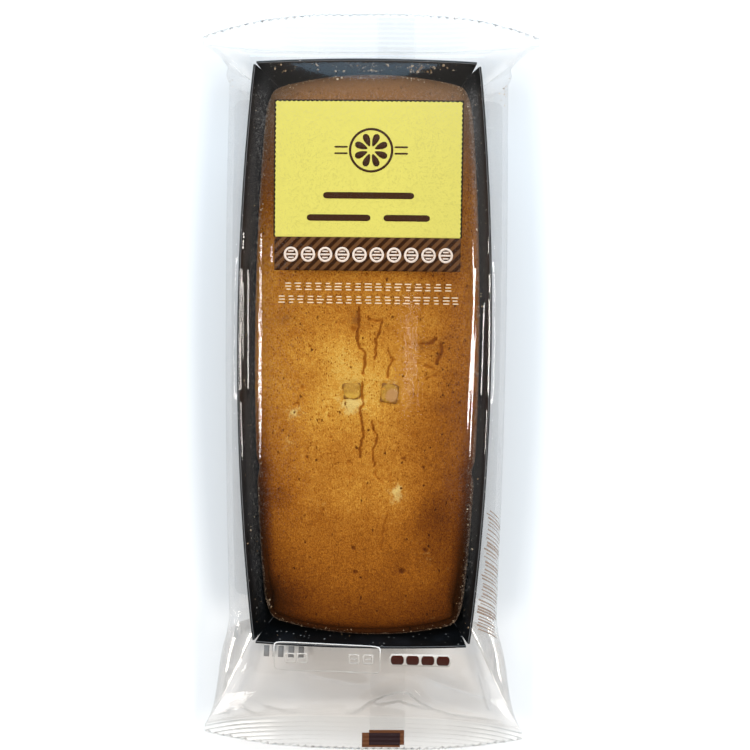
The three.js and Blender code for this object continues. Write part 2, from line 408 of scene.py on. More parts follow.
def off_line(x, y, line):
    """Distance from a place to a line of several stretches."""
    best = 1e9
    for a, b in zip(line, line[1:]):
        bx, by = b[0] - a[0], b[1] - a[1]
        t = clamp(((x - a[0]) * bx + (y - a[1]) * by) / (bx * bx + by * by))
        best = min(best, math.hypot(x - a[0] - t * bx, y - a[1] - t * by))
    return best


def torn(x, y):
    """1 in the middle of a tear or a pit and 0 away from them all."""
    deepest = 0
    fray_x = x + 0.55 * noise.noise(Vector((x / 2, y / 1.6, 7)))
    for deep, width, *line in TEARS:
        if line[-1][1] - 2 < y < line[0][1] + 4 and abs(x - line[0][0]) < 8:
            uneven = 1.45 * width * (0.75 + 0.9 * abs(noise.noise(Vector((x / 3, y / 1.8, 28)))))
            far = off_line(fray_x, y, line) / uneven
            deepest = max(deepest, deep * math.exp(-far * far))
    for (at_x, at_y), width, deep in PITS:
        if abs(x - at_x) < 3 and abs(y - at_y) < 3:
            far = math.hypot(fray_x - at_x, y - at_y) / (1.25 * width)
            deepest = max(deepest, deep * math.exp(-(far ** 4)))
    return min(1, 1.4 * deepest)


def crust_relief(x, y):
    """The crust's own lumps, tears and hollows at a place on the loaf."""
    height = 0.2 * noise.noise(Vector((x / 7, y / 7, 0)))
    height += 0.1 * noise.noise(Vector((x / 2.2, y / 3, 5)))
    height -= TEAR_DEPTH * torn(x, y)
    (at_x, at_y), (wide, long), rise = BLISTER
    blister = math.hypot((x - at_x) / wide, (y - at_y) / long)
    height += rise * math.exp(-(blister ** 4))
    for (at_x, at_y), size, turn in DICE:
        edge = max(abs(x - at_x) / (size[0] / 2), abs(y - at_y) / (size[1] / 2))
        height -= DIE_GROOVE[0] * math.exp(-(((edge - 1) / DIE_GROOVE[1]) ** 2))
    fold = math.exp(-(((y - DENT[0] - 0.02 * x) / FOLD[1]) ** 2)) * smooth((abs(x) - 10) / 18)
    return height - FOLD[0] * fold


def inside(u, v):
    """Millimetres from a place on the top to the loaf's outline."""
    return min((1 - abs(u)) * TRAY_END_WIDTH / 2, (1 - abs(v)) * TRAY_LENGTH / 2)


def crust_height(u, v, x, y):
    edge = CAKE_EDGE + CAKE_EDGE_TILT * u
    dome = math.sqrt(max(0, 1 - abs(u) ** 2.3) * max(0, 1 - abs(v) ** 6))
    lump = CAKE_LUMP * math.sin(x / 9 + y / 21 + 1) * math.cos(y / 13 - x / 30)
    groove = LIP[2] * smooth(-v * 4 - 2.6) * math.exp(-(((inside(u, v) - LIP[0]) / LIP[1]) ** 2))
    return edge + (CAKE_CROWN - edge + lump) * dome + crust_relief(x, y) * clamp(dome * 1.6) - groove


def loaf_point(u, v, w):
    rim = max(abs(u), abs(v), 1e-6)
    spread = max(1, abs(u / rim) ** CAKE_CORNER + abs(v / rim) ** CAKE_CORNER)
    corner = mix(1, spread ** (-1 / CAKE_CORNER), rim * rim)
    side = CAKE_EDGE + CAKE_EDGE_TILT * u
    z = mix(CARD + TRAY_LIFT + 0.3, side, w)
    along = v * TRAY_LENGTH / 2
    pinch = DENT[1] * w * math.exp(-(((along - DENT[0]) / DENT[2]) ** 2))
    x = u * corner * (tray_half_width(v, z) - CAKE_INSET - pinch)
    reach = tray_half_length(u, z) - CAKE_INSET - CAKE_END_BOW * u * u
    y = v * corner * reach - CAKE_END_GAP * max(0, v) * w
    if w == 1:
        z = crust_height(u, v, x, y)
    return x, y + TRAY_Y, z


def crust_finish():
    """The colour follows level, which is 1 for the palest gold and 0 for nearly burnt."""
    look = Finish("baked_crust")
    point = look.place()
    x, y, z = look.axes(point)
    y = y - TRAY_Y
    patches = look.cloud(point, 11, 3, 0.6)
    mottle = look.rise(look.cloud(look.stretch(point, 1, 0.8, 1), 1.7, 5, 0.65), 0.25, 0.75)
    grain = look.rise(look.cloud(look.stretch(point, 1, 0.7, 1), 0.42, 3, 0.7), 0.25, 0.75)
    away = look.node("Attribute", {}, output=2, attribute_name="away")
    tears = look.node("Attribute", {}, output=2, attribute_name="torn")

    # browner towards the lower end and both long sides, golden over the peel
    lower_end = 1 - look.rise(y * -1, 36, 112) * 0.68
    right = look.rise(x, 5, 35) * (look.rise(y * -1, -20, 18) * 0.14 + 0.28)
    left = look.rise(x * -1, 15, 39) * look.rise(y * -1, 10, 46) * 0.36
    level = lower_end * (1 - right) * (1 - left) * 0.58 + look.spots(x, y, PALER)
    corners = look.spot(x, y, (-32, -88), (12, 9)) + look.spot(x, y, (38, -84), (6, 18))
    upper_left = look.rise(x * -1, 20, 34) * look.rise(y, 30, 70)
    level = level * (1 - corners * 0.7) * (1 - upper_left * 0.5)
    level = level * (1.12 - look.rise(y, 60, 94) * 0.5)

    # thin-skinned blotches and the fine grain, which shows most where the crust is dark
    coarse = (grain - 0.5) * (1.3 - level)
    level = level * ((patches - 0.5) * 0.48 + (mottle - 0.5) * 0.22 + coarse + 1)
    dot, kind = look.cells(look.stretch(point, 1, 0.65, 1), 1.25)
    dots = (1 - look.rise(dot, 0.12, 0.42)) * look.rise(kind + (patches - 0.5) * 0.8, 0.52, 0.7)
    dots = dots * (1 - look.rise(y * -1, 20, 60) * 0.4)
    # pores and tears, darker: partly their own colour, partly painted shade in hollows finer than the
    # mesh
    hole, kind = look.cells(look.stretch(point, 1, 0.7, 1), 0.5)
    holes = (1 - look.rise(hole + (grain - 0.5) * 0.2, 0.1, 0.24)) * look.rise(kind, 0.75, 0.85)
    holes = look.math("MAXIMUM", holes, look.rise(tears + (grain - 0.5) * 0.3, 0.1, 1) * 0.8)
    level = level * (1 - dots * 0.48) * (1 - holes * 0.66)

    # the lip of the lower end, and painted shade on the crust beside the walls, strongest towards the
    # lower end
    wall_shade = look.rise(away, 8, 1.8) * look.rise(y * -1, 0, 60) * 0.78
    wall_shade = wall_shade + look.rise(away, 9, 1.5) * look.rise(y, 50, 90) * 0.4
    level = level * (1 - wall_shade)
    steps = (
        (0, (0.012, 0.004, 0.001)),
        (0.155, (0.1, 0.025, 0.003)),
        (0.29, (0.185, 0.05, 0.004)),
        (0.47, (0.305, 0.097, 0.008)),
        (0.61, (0.4, 0.144, 0.016)),
        (0.76, (0.5, 0.213, 0.026)),
        (0.92, (0.6, 0.294, 0.042)),
        (1, (0.64, 0.37, 0.075)),
    )
    colour = look.node("ValToRGB", {0: level}, stops=steps)

    # pale where the crust hardly browned, redder smudges, and the crumbly edge
    pale = look.spots(x, y, PALE_SPOTS) + (mottle - 0.5) * 0.8
    pale = look.rise(pale, 0.25, 1.0) * (1 - holes)
    colour = look.blend(colour, (0.66, 0.46, 0.15), pale * 0.85)
    red = look.spots(x, y, RED_SPOTS) * look.rise(mottle + (grain - 0.5) * 0.4, 0.3, 0.6)
    colour = look.blend(colour, (0.15, 0.04, 0.01), red)
    # greyer towards the upper end: a painted veil of the film's reflection over the crust
    colour = look.blend(colour, (0.24, 0.14, 0.07), look.rise(y, 50, 92) * 0.55)
    crumbly = look.rise(away + (mottle - 0.5) * 1.6, 1.3, 0.4) * look.rise(grain, 0.3, 0.65)
    colour = look.blend(colour, (0.34, 0.235, 0.16), crumbly * 0.8)

    relief = look.bump(grain * 0.45 + mottle * 0.5 - dots * 0.35 - holes * 0.8, 0.4)
    values = {"Base Color": colour, "Roughness": 0.7, "Normal": relief, "Specular IOR Level": 0.04}
    return look.skin(values)


def lemon_cake():
    bm = bmesh.new()
    across, along, levels = 200, 400, 7
    bmesh.ops.create_grid(bm, x_segments=across, y_segments=along, size=1)
    bmesh.ops.holes_fill(bm, edges=extruded_wall(bm, levels, -1), sides=0)

    def crowd(t, turns, much):
        """Closer rows over the tears and at the shoulders, or at the shoulders alone."""
        return t - much * math.sin(turns * math.pi * t) / (turns * math.pi)

    dark = bm.verts.layers.float.new("torn")
    away = bm.verts.layers.float.new("away")
    for vert in bm.verts:
        u, v, w = vert.co
        u = crowd(u, 2, 0.35)
        v = crowd(v, 1, -0.4)
        top = w > -0.001
        vert.co = loaf_point(u, v, 1 if top else clamp(w + 1))
        vert[dark] = torn(vert.co.x, vert.co.y - TRAY_Y) if top else 0
        vert[away] = inside(u, v) if top else 0
    piece = mesh_piece("lemon_cake", bm)
    piece.data.materials.append(crust_finish())
    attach(piece, "root")
    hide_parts("cake")


lemon_cake()

# ---- The peel dice ----
# Two dice of candied lemon peel, translucent and sticky, with soft edges. They were strewn on the
# batter and sank into the crust before it set.
DIE_PROUD = 0.15
DIE_ROUND = 0.8
DIE_DENTS = (0.45, 2.1)  # depth and width of the dents in its faces
noise.seed_set(98)  # of these dents, because noise_vector() else takes its seed from the clock


def peel_finish():
    look = Finish("candied_peel")
    point = look.place()
    x, y, z = look.axes(point)
    y = y - TRAY_Y
    veins = look.cloud(point, 1.6, 4, 0.6, 1.5)
    tone = look.blend((0.32, 0.15, 0.01), (0.46, 0.24, 0.03), look.rise(veins, 0.35, 0.7))
    # the left die is lighter below, the right one greyer in its middle
    tone = look.blend(tone, (0.52, 0.3, 0.04), look.rise(y, -10.6, -12.2) * look.rise(x, 2, 0))
    heart = look.rise(look.spot(x, y, (10.2, -12), (2.6, 3)) + (veins - 0.5) * 0.8, 0.3, 0.7)
    tone = look.blend(tone, (0.4, 0.2, 0.065), heart)
    rim = look.spot(x, y, (-3.9, -10.2), (3.4, 3.4)) + look.spot(x, y, (9.2, -11.2), (3.3, 3.7))
    tone = look.blend((0.2, 0.075, 0.008), tone, look.rise(rim + (veins - 0.5) * 0.2, 0.34, 0.54))
    relief = look.bump(veins, 0.3)
    return look.skin({
        "Base Color": tone,
        "Roughness": 0.45,
        "Normal": relief,
        "Specular IOR Level": 0.2,
        "Subsurface Weight": 0.2,
        "Subsurface Radius": (0.002, 0.0012, 0.0004),
    })


def peel_dice():
    bm = bmesh.new()
    for (x, y), size, turn in DICE:
        made = bmesh.ops.create_cube(bm, size=1)["verts"]
        place = Matrix.Translation((x, y + TRAY_Y, CAKE_CROWN + DIE_PROUD - size[2] / 2))
        turned = place @ Matrix.Rotation(turn, 4, "Z") @ Matrix.Diagonal((*size, 1))
        bmesh.ops.transform(bm, matrix=turned, verts=made)
    rounded = {"offset": DIE_ROUND, "segments": 3, "profile": 0.5}
    bmesh.ops.bevel(bm, geom=bm.edges[:], affect="EDGES", material=-1, **rounded)
    bmesh.ops.subdivide_edges(bm, edges=bm.edges[:], cuts=3, use_grid_fill=True)
    depth, wide = DIE_DENTS
    for vert in bm.verts:
        vert.co += depth * noise.noise_vector(vert.co / wide)
    piece = mesh_piece("peel_dice", bm)
    piece.data.materials.append(peel_finish())
    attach(piece, "root")


peel_dice()

# ---- Crumbs ----
# Crumbs and flakes of the crust that rubbed off in transport. They cling to the card walls and to the
# loaf's edge.
CRUMB_COUNT = 520
CRUMB_SIZES = (0.13, 0.45)
CRUMBS_ON_LOAF = 0.62  # their share; the others lie on the walls


def crumb_finish():
    look = Finish("crumb")
    point = look.place()
    x, y, z = look.axes(point)
    kind = look.cloud(point, 6, 2)
    tone = look.blend((0.32, 0.19, 0.08), (0.72, 0.58, 0.4), look.rise(kind, 0.35, 0.6))
    # darker towards the lower end: painted shade, against the window's light there
    tone = look.blend(tone, (0.22, 0.12, 0.05), look.rise(y * -1, 30, 80) * 0.75)
    return look.skin({"Base Color": tone, "Roughness": 0.8})


def add_crumb(bm, draw, place, size):
    made = bmesh.ops.create_icosphere(bm, subdivisions=1, radius=size)["verts"]
    flat = Matrix.Diagonal((1, draw.uniform(0.4, 1.0), draw.uniform(0.35, 0.8), 1))
    turn = Euler([draw.uniform(0, 6.28) for axis in "xyz"]).to_matrix().to_4x4()
    bmesh.ops.transform(bm, matrix=Matrix.Translation(place) @ turn @ flat, verts=made)
    for vert in made:
        vert.co += 0.1 * noise.noise_vector(vert.co * 3)


def crumbs():
    draw = random.Random(31)
    bm = bmesh.new()
    for index in range(CRUMB_COUNT):
        kind = draw.random()
        u = draw.uniform(-0.97, 0.97)
        v = draw.uniform(-0.97, 0.97)
        if kind < CRUMBS_ON_LOAF:
            # along the edge of the loaf
            if draw.random() < 0.45:
                v = draw.choice((-1, 1)) * (1 - draw.uniform(0.2, 2.6) / (TRAY_LENGTH / 2))
            else:
                u = draw.choice((-1, 1)) * (1 - draw.uniform(0.2, 2.2) / (TRAY_END_WIDTH / 2))
            x, y, z = loaf_point(u, v, 1)
            y -= TRAY_Y
            z += 0.08
        else:
            # on the walls, most of them on the upper end
            if draw.random() < 0.55:
                v = 1 if draw.random() < 0.92 else -1
                u = 0.9 * u if draw.random() < 0.5 else draw.choice((-0.05, 0.5)) + 0.12 * u
            else:
                u = draw.choice((-1, 1))
            z = mix(CAKE_EDGE + 0.5, TRAY_HEIGHT - 1, draw.random() ** 1.6)
            x = u * (tray_half_width(v, z) - CARD - 0.2)
            y = v * (tray_half_length(u, z) - CARD - 0.2)
        size = mix(*CRUMB_SIZES, draw.random() ** 3) * (1.5 if v > 0.94 else 1)
        add_crumb(bm, draw, (x, y + TRAY_Y, z), size)
    piece = mesh_piece("crumbs", bm, soft=False)
    piece.data.materials.append(crumb_finish())
    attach(piece, "root")


crumbs()

# ---- The film bag ----
# A tube of clear crisp film drawn tight over the tray by a flow-wrapping machine: welded along its back
# and crimped flat at both ends between ribbed jaws, which cut it with a zigzag knife.
FILM = 0.04
BAG_LENGTH = 283
BAG_HALF_WIDTH = 63
BAG_SIDE = 50
BASE_MARGIN = 1.5
FILM_STAND = 0.9  # of the film outside the rim
FILM_LIFT = 0.16  # of its lower side, over the folded back seam
FLAP_FROM = TRAY_LENGTH / 2 + TRAY_END_BOW + FILM_STAND  # where the film leaves the rim's ends
CROWN_RISE = 4.3
SHOULDERS = ((0.79, 0.95), (0.82, 0.96))  # left and right: the dip off the crust, in shares of the width
PLEAT_SLOPES = (0.162, 0.205)  # down the flat of each pleat, left and right
PLEAT_FADE = 4
PLEATS_UNTIL = 0.955  # share of the width, past which they run out
# Long flat pleats of the drawn film: where they lie at y = 0, lean, half-width, from and to
PLEATS = (
    (-35.9, 0.0, 0.5, -20, 58),
    (-32.1, 0.0, 0.7, 45, 57),
    (-40.5, 0.0, 0.55, -1, 52),
    (-42.3, 0.0, 0.3, 9, 44),
    (36.9, 0.033, 0.42, -13, 51),
    (38.2, 0.028, 0.33, -11, 48),
    (41.3, 0.008, 0.48, -2, 39),
    (42.6, 0.0, 0.16, 0, 31),
)
SEAL_HEIGHT = 14
SEAL_THICKNESS = 0.8
SEAL_DROOP = 3
SEAL_WAVE = 0.8
# Where each seal starts and ends along the pack, in its middle and at its tips
UPPER_SEAL = {"from": 127, "to": BAG_LENGTH / 2, "tip_from": 130.5, "tip_to": 133.5}
LOWER_SEAL = {"from": -128, "to": -BAG_LENGTH / 2, "tip_from": -134, "tip_to": -137}
TOOTH = 3
TOOTH_DEPTH = 1.3
RIB_PITCH = 1.75
RIB_DEPTH = 0.13
SLACK = (0.5, 0.2)  # the long and the short waves of the free film
# Folds pressed into the free film: places along each, then its height and half-width
FOLDS = (
    ((-3.4, -125), (2, -116.4), (8.1, -111.6), (14.5, -108.8), (18.3, -110), (22.8, -115.8), 2.8, 2.2),
    ((18.3, -110), (22.8, -115.8), (27.3, -119.7), (35.3, -123.4), (49.7, -126.4), 1.6, 1.9),
    ((7, -118), (14, -115), (24, -120.5), 1.2, 1.8),
    ((-37.7, -87.3), (-40.5, -96.3), (-45.7, -108.4), (-52.1, -121.9), (-58, -130), 1.3, 1.4),
    ((-42.4, -86), (-44.6, -93.8), (-49.3, -107.2), (-55, -121.8), 0.8, 0.9),
    ((-47.1, -118.9), (-39.8, -129), 1.0, 1.5),
    ((-38.6, -118.9), (-28.5, -125), 0.8, 2.4),
    ((37.4, -88.3), (40.6, -90), (37.2, -97.7), 1.8, 1.0),
    ((41.4, -90.4), (45.1, -107), (48.2, -119.1), 2.1, 1.1),
    ((43.4, -93.7), (48.3, -115.5), 1.5, 0.8),
    ((26.1, -104), (37, -109), (46, -112), 0.8, 1.8),
    ((-23.6, -100), (-9.5, -104.5), (2.1, -107.5), 0.9, 2.2),
    ((-24, 121), (-27, 118.5), (-22, 116), 0.9, 0.9),
    ((64, 130), (50, 121.5), (43, 117), 1.2, 1.4),
    ((-61, 129), (-48, 119.5), (-41.2, 114), 1.2, 1.5),
    ((38, 114), (44, 111.5), (47, 108), 0.7, 0.8),
)


def share(value, start, end):
    return clamp((value - start) / (end - start))


def nearest(x, y, bend):
    """Distance to a bent line, shorter on its far side, and how far along it that is."""
    best = (1e9, 0)
    for index, (a, b) in enumerate(zip(bend, bend[1:])):
        ax, ay = x - a[0], y - a[1]
        bx, by = b[0] - a[0], b[1] - a[1]
        t = clamp((ax * bx + ay * by) / (bx * bx + by * by))
        side = 1.7 if ax * by - ay * bx > 0 else 0.8
        best = min(best, (side * math.hypot(ax - t * bx, ay - t * by), (index + t) / (len(bend) - 1)))
    return best


def film_relief(x, y, loose):
    """Creases and slack of the film: loose is 0 where it lies on the tray and 1 where it hangs free."""
    height = loose * SLACK[0] * noise.noise(Vector((x / 11, y / 16, 3)))
    height += loose * SLACK[1] * noise.noise(Vector((x / 4, y / 7, 9)))
    if loose > 0.02:
        for *bend, rise, width in FOLDS:
            if abs(y - bend[1][1]) < 30:
                far, t = nearest(x, y, bend)
                ends = math.sin(math.pi * mix(0.12, 0.88, t))
                height += loose * rise * math.exp(-((far / width) ** 2)) * ends
    return height


def swell(u, v):
    """How far the film over the tray stands above its rim."""
    fall = 0.5 * u * u + 0.5 * smooth(share(abs(u), *SHOULDERS[u > 0]))
    return CROWN_RISE * (1 - fall) * (1 - v ** 4)


def pleats(y, rim_x, u, v):
    """What the flat pleats add to the swell, between a pleat and the rim."""
    out = abs(u) * rim_x
    hand = math.copysign(1, u)
    height = 0
    for at, lean, width, low, high in PLEATS:
        if at * u > 0 and low < y < high:
            slope = PLEAT_SLOPES[at > 0]
            start = abs(at + lean * y) - width
            flat = clamp(out, start, start + 2 * width)
            steep = swell(start / rim_x * hand, v) - swell(flat / rim_x * hand, v)
            fade = smooth(share(y, low, low + PLEAT_FADE)) * smooth(share(y, high, high - PLEAT_FADE))
            height += (steep - slope * (flat - start)) * fade
    return height * (1 - smooth(share(abs(u), PLEATS_UNTIL, 1)))


def end_seal(y):
    return UPPER_SEAL if y > TRAY_Y else LOWER_SEAL


def seal_edges(seal, u):
    """Where a seal starts and ends; u is 0 at its middle and 1 or -1 at its tips."""
    tip = abs(u) ** 3
    return mix(seal["from"], seal["tip_from"], tip), mix(seal["to"], seal["tip_to"], tip)


def flap_share(y, start=FLAP_FROM):
    """0 over the tray and 1 at the seal, along the film that hangs free."""
    return share(abs(y - TRAY_Y), start, abs(end_seal(y)["from"] - TRAY_Y))


def film_rim(y):
    """How far along the tray y is, and the half-width of the film over its rim there."""
    v = min(1, abs(y - TRAY_Y) / (TRAY_LENGTH / 2))
    return v, tray_half_width(v, TRAY_HEIGHT) + FILM_STAND


def bag_point(y, seal_share, u, w):
    """A point of the film: u goes across it, w from its lower side to its upper one."""
    seal = end_seal(y)
    above = flap_share(y)
    below = flap_share(y, TRAY_BASE_LENGTH / 2 + BASE_MARGIN)
    v, rim_x = film_rim(y)
    rim_z = TRAY_HEIGHT + TRAY_LIFT + FILM_STAND
    base_x = TRAY_BASE_WIDTH / 2 + BASE_MARGIN
    flat_z = SEAL_HEIGHT - SEAL_DROOP * u * u
    top_x = mix(rim_x, BAG_HALF_WIDTH, above)
    top_z = mix(rim_z + swell(u, v) + pleats(y, rim_x, u, v), flat_z + SEAL_THICKNESS / 2, above ** 1.25)
    foot_x = mix(base_x, BAG_HALF_WIDTH, below)
    foot_z = mix(FILM_LIFT, flat_z - SEAL_THICKNESS / 2, smooth(below))
    bulge = BAG_SIDE - mix(base_x, rim_x, 0.5)
    side = mix(bulge, 0, max(above, smooth(below))) * 4 * w * (1 - w)
    x = u * (mix(foot_x, top_x, w) + side)
    z = mix(foot_z, top_z, w)
    tip_start, tip_end = seal_edges(seal, u)
    y += (tip_start - seal["from"]) * above + (tip_end - tip_start) * seal_share
    # slack between the tray and the seals, ribs across the seals
    loose = min(1, above * 4) * (1 - smooth(above * 6 - 5)) if above < 1 else 0
    z += film_relief(x, y, loose) * w
    if above >= 1:
        far = abs(tip_end - tip_start) * seal_share
        z += RIB_DEPTH * math.sin(2 * math.pi * far / RIB_PITCH) * min(1, far)
        z += SEAL_WAVE * noise.noise(Vector((x / 14, y / 30, 20 + y // 200)))
    return Vector((x, y, z))


def film_side(x, y, w):
    """Height of the film's upper (w = 1) or lower side at a point."""
    seal = end_seal(y)
    above = flap_share(y)
    v, rim_x = film_rim(y)
    u = x / mix(rim_x, BAG_HALF_WIDTH, above)
    start, end = seal_edges(seal, u)
    past = share(y, start, end)
    return bag_point(seal["from"] if past else y - (start - seal["from"]) * above, past, u, w).z


def clear_film(name, tint, rough=0.05, most=0.16, dim=0.92):
    """Clear film: its tint passes, darkened by dim edge on, under a gloss of most at the most."""
    look = Finish(name)
    point = look.place()
    x, y, z = look.axes(point)

    # fine pimples where it lies on the crust, long waves everywhere
    on_cake = (1 - look.rise(look.math("ABSOLUTE", x), 36, 41)) * look.rise(z, 41, 43)
    on_cake = on_cake * (1 - look.rise(y, 104, 110)) * (1 - look.rise(y * -1, 76, 84))
    pimples = look.cloud(point, 0.75, 3, 0.6)
    waves = look.cloud(look.stretch(point, 1, 0.15, 1), 2.5, 3)
    relief = look.bump(pimples * on_cake, 0.009, look.bump(waves, 0.03))
    sheen = look.node("Fresnel", {"IOR": 1.45, "Normal": relief})

    # a thin veil along the right, the left and the upper end of the crust, and a sparkle on the pimples
    right = look.rise(x, 4, 32) * (1 - look.rise(y * -1, 15, 65) * 0.9) * 0.04
    left = look.rise(x * -1, 20, 36) * 0.01
    veil = (right + left + look.rise(y, 70, 105) * 0.018) * on_cake
    sparkle = (look.rise(pimples, 0.5, 0.62) * 2.6 - 1) * on_cake + 1
    gloss = look.math("MINIMUM", sheen * 0.8 * sparkle + veil, most)
    shine = look.node("BsdfAnisotropic", {"Color": (1, 1, 1), "Roughness": rough, "Normal": relief})
    through = look.node("BsdfTransparent", {"Color": tint})
    edge_on = look.math("MINIMUM", look.math("MAXIMUM", (sheen - 0.07) * 4), 0.8)
    dull = look.node("BsdfTransparent", {"Color": tuple(c * dim for c in tint)})
    through = look.node("MixShader", {0: edge_on, 1: through, 2: dull})
    return look.done(look.node("MixShader", {0: gloss, 1: through, 2: shine}))


def film_bag():
    rows = []
    for start, end, count in ((-1, 0, 30), (0, 1, 170), (1, 2, 30)):
        rows += [mix(start, end, i / count) for i in range(count)]
    rows.append(2)
    across, along, levels = 184, len(rows) - 1, 10
    ease = 8  # beyond the tray, where its crowded columns grow even
    bm = bmesh.new()
    upper = Matrix.Translation((0, 0, 1))
    bmesh.ops.create_grid(bm, x_segments=across, y_segments=along, size=1, matrix=upper)
    extruded_wall(bm, levels, -1)
    bmesh.ops.create_grid(bm, x_segments=across, y_segments=along, size=1)
    bmesh.ops.remove_doubles(bm, verts=bm.verts, dist=1e-5)
    for vert in bm.verts:
        u, v, w = vert.co
        row = rows[round((v + 1) / 2 * along)]
        # closer rows over the flaps, closer columns near the pleats and even ones towards the teeth
        t = clamp(row)
        y = mix(LOWER_SEAL["from"], UPPER_SEAL["from"], t - 0.4 * math.sin(math.tau * t) / math.tau)
        over = 1 - share(abs(y - TRAY_Y), TRAY_LENGTH / 2, TRAY_LENGTH / 2 + ease)
        u += 0.8 * over * math.sin(math.pi * u) / math.pi
        point = bag_point(y, max(-row, row - 1, 0), u, clamp(w))
        if row in (-1, 2):
            notch = abs((point.x / TOOTH) % 1 - 0.5) * 2
            point.y -= math.copysign(TOOTH_DEPTH * (1 - notch), y)
        vert.co = point
    piece = mesh_piece("film_bag", bm)
    piece.data.materials.append(clear_film("clear_film", (0.975, 0.972, 0.97)))
    # free flaps: a clearer, warmer copy of the film, painted light that lifts the flaps the tray shades
    piece.data.materials.append(clear_film("loose_film_lightened", (0.995, 0.98, 0.965), most=0.5, dim=0.76))
    # seals: a darker copy, partly the thicker welded film and partly painted shade
    piece.data.materials.append(clear_film("seal_film_darkened", (0.95, 0.945, 0.937), 0.22, 0.5, 0.82))
    for face in piece.data.polygons:
        x, y = (value * 1000 for value in face.center[:2])
        start, end = seal_edges(end_seal(y), x / BAG_HALF_WIDTH)
        loose = abs(y - TRAY_Y) > FLAP_FROM
        face.material_index = 2 if abs(y) > abs(start) else int(loose)
    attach(piece, "root")
    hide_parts("bag")


film_bag()

# ---- The loose crumbs ----
# A few crumbs of the same crust, which fell between the tray and the film as it was wrapped, mostly at
# the upper right corner.
LOOSE_COUNT = 22
LOOSE_LEFT = 4
LOOSE_Y = (98, 2.2)  # from the tray's middle: where they lie and how widely
LOOSE_SIZES = (0.15, 0.4)


def loose_crumbs():
    draw = random.Random(12)
    bm = bmesh.new()
    for index in range(LOOSE_COUNT):
        side = -1 if index < LOOSE_LEFT else 1
        y = TRAY_Y + LOOSE_Y[0] + draw.gauss(0, LOOSE_Y[1])
        point = bag_point(y, 0, side, draw.uniform(0.4, 0.62))
        size = mix(*LOOSE_SIZES, draw.random() ** 2)
        add_crumb(bm, draw, (point.x - side * 0.5, point.y, point.z), size)
    piece = mesh_piece("loose_crumbs", bm, soft=False)
    piece.data.materials.append(bpy.data.materials["crumb"])
    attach(piece, "root")


loose_crumbs()

# ---- The back seam ----
# The tube's two edges, welded face to face into a ribbed fin of the same film. It is folded flat along
# the back and caught in both end seals.
SEAM_X = (2.8, 16.7)
SEAM_MARGIN = 1.5
SEAM_HEIGHT = 0.05
SEAM_RIBS = 0.02


def back_seam():
    bm = bmesh.new()
    across, along = 14, 280
    bmesh.ops.create_grid(bm, x_segments=across, y_segments=along, size=1)
    for vert in bm.verts:
        u, v, w = vert.co
        x = mix(*SEAM_X, (u + 1) / 2)
        row = v * (BAG_LENGTH / 2 - SEAM_MARGIN)
        y = clamp(row, LOWER_SEAL["from"], UPPER_SEAL["from"])
        seal = end_seal(row)
        past = abs(row - y) / abs(seal["to"] - seal["from"])
        point = bag_point(y, past, x / BAG_HALF_WIDTH, 0)
        lifted = point.z - FILM_LIFT
        vert.co = (x, point.y, SEAM_HEIGHT + lifted + SEAM_RIBS * math.sin(row * 3))
    piece = mesh_piece("back_seam", bm)
    add_modifier(piece, "SOLIDIFY", thickness=FILM / 1000, offset=0)
    piece.data.materials.append(clear_film("seam_film", (0.985, 0.985, 0.985), 0.15, 0.02, 1.0))
    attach(piece, "root")


back_seam()

# ---- The printing ----
# Inks laid on the inside of the film before it is wrapped: a lemon-yellow field with a fine scalloped
# edge, a striped brown band under it, and bars, dashes and lemon slices.
INK_DEPTH = 0.12  # under the film's outer face
OVERPRINT_DEPTH = 0.07  # of the marks that lie on the field, the band or a white ground
FIELD_X = (-31.2, 33.1)
FIELD_Y = (56.7, 103.2)
BAND_Y = (45.2, 56.7)
SCALLOP = 1.6
SCALLOP_DEPTH = 0.35
STRIPE_PITCH = 3.4
LOWER_ROW_Y = -94.3  # of the squares and the blocks beyond the tray
BLOCKS_X = 21.5


def ink_finish(name, colour, other=None):
    """Ink, slightly uneven; with another colour, in diagonal stripes."""
    look = Finish(name)
    point = look.place()
    x, y, z = look.axes(point)
    wear = look.cloud(point, 2.5, 4)
    tone = look.blend(colour, tuple(c * 0.93 for c in colour), wear)
    if other:
        wave = look.math("SINE", (x - y) * (math.tau / STRIPE_PITCH))
        tone = look.blend(tone, other, look.rise(wave + (wear - 0.5) * 0.5, -0.3, 0.3))
    return look.skin({"Base Color": tone, "Roughness": 0.35, "Specular IOR Level": 0.03})


def print_piece(name, bm, material, depth=INK_DEPTH, side=1):
    """Drapes flat shapes on the upper side (1) or the lower side (0) of the film."""
    inward = depth if side else -depth
    for vert in bm.verts:
        vert.co.z = film_side(vert.co.x, vert.co.y, side) - inward
    piece = mesh_piece(name, bm)
    add_modifier(piece, "SOLIDIFY", thickness=FILM / 1000, offset=-1)
    piece.data.materials.append(material)
    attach(piece, "root")


def bar(bm, x, y, length, height, rounded=0.0, rows=2):
    """A flat bar, middle at x, y, whose ends are round when rounded is 1."""
    columns = max(2, round(length / 0.8))
    made = bmesh.ops.create_grid(bm, x_segments=columns, y_segments=rows, size=1)["verts"]
    for vert in made:
        u, v, w = vert.co
        shorter = rounded * height * (1 - math.sqrt(max(0, 1 - v * v)))
        vert.co = (x + u * (length - shorter) / 2, y + v * height / 2, 0)
    return made


